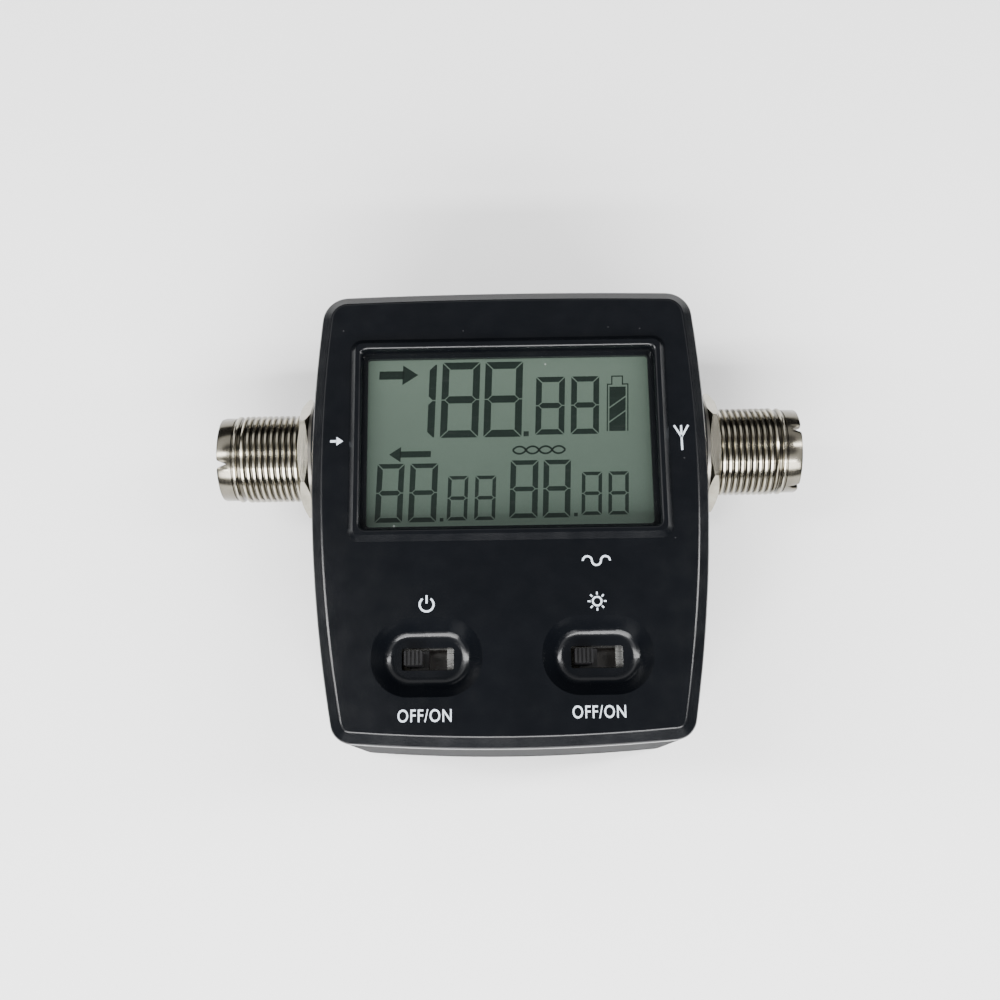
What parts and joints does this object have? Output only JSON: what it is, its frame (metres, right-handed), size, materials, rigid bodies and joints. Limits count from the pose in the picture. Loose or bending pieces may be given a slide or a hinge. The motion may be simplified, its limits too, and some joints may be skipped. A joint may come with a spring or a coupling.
{
  "type": "swr meter",
  "caption": "Handheld digital SWR and power meter with a display window, slide switches and threaded coaxial jacks on its sides.",
  "frame": {"origin": "mid-case in X and Y, on the plane that the back lies on", "axes": "+Z out of the face, +X towards the antenna jack, +Y towards the top of the face"},
  "size_m": [0.1046, 0.0792, 0.0371],
  "materials": {
    "case_plastic": "moulded black ABS, semi-gloss",
    "clear_window": "clear acrylic, polished",
    "lcd": "grey-green reflective display cell",
    "light_guide": "milky light guide",
    "strip_rubber": "layered contact rubber",
    "inner_plastic": "black moulding",
    "board": "green circuit board",
    "chip": "black epoxy",
    "steel": "plated sheet steel",
    "switch_base": "brown phenolic plate",
    "knob": "black moulded knob",
    "nickel": "nickel-plated brass, slightly warm",
    "insulator": "white PTFE",
    "contact_metal": "silver-plated contact",
    "copper": "tinned copper conductor and sleeve",
    "ferrite": "ferrite core",
    "foam": "adhesive foam",
    "cell": "foil pouch of a lithium cell",
    "screw_steel": "black-passivated steel screws"
  },
  "bodies": {
    "case": {"front_housing": "case_plastic", "rear_cover": "case_plastic", "window_pane": "clear_window", "lcd_glass": "lcd", "lcd_backlight": "light_guide", "contact_strips": "strip_rubber", "lcd_holder": "inner_plastic", "display_board": "board", "controller_chip": "chip", "charge_socket": "steel", "power_switch_shell": "steel", "light_switch_shell": "steel", "power_switch_base": "switch_base", "light_switch_base": "switch_base", "tx_jack_shell": "nickel", "ant_jack_shell": "nickel", "tx_insulator": "insulator", "ant_insulator": "insulator", "tx_contact": "contact_metal", "ant_contact": "contact_metal", "tx_washer": "nickel", "ant_washer": "nickel", "tx_nut": "nickel", "ant_nut": "nickel", "rf_tray": "steel", "coupler_board": "board", "through_line": "copper", "current_core": "ferrite", "voltage_core": "ferrite", "board_link": "inner_plastic", "battery_pad": "foam", "battery_cell": "cell", "case_screws": "screw_steel", "board_screws": "screw_steel", "coupler_screws": "screw_steel"},
    "power_slider": {"power_knob": "knob"},
    "light_slider": {"light_knob": "knob"}
  },
  "joints": [
    {"name": "power_slide", "type": "slide", "parent": "case", "child": "power_slider", "axis": [1, 0, 0], "range_m": [0, 0.0045]},
    {"name": "light_slide", "type": "slide", "parent": "case", "child": "light_slider", "axis": [1, 0, 0], "range_m": [0, 0.0045]}
  ]
}
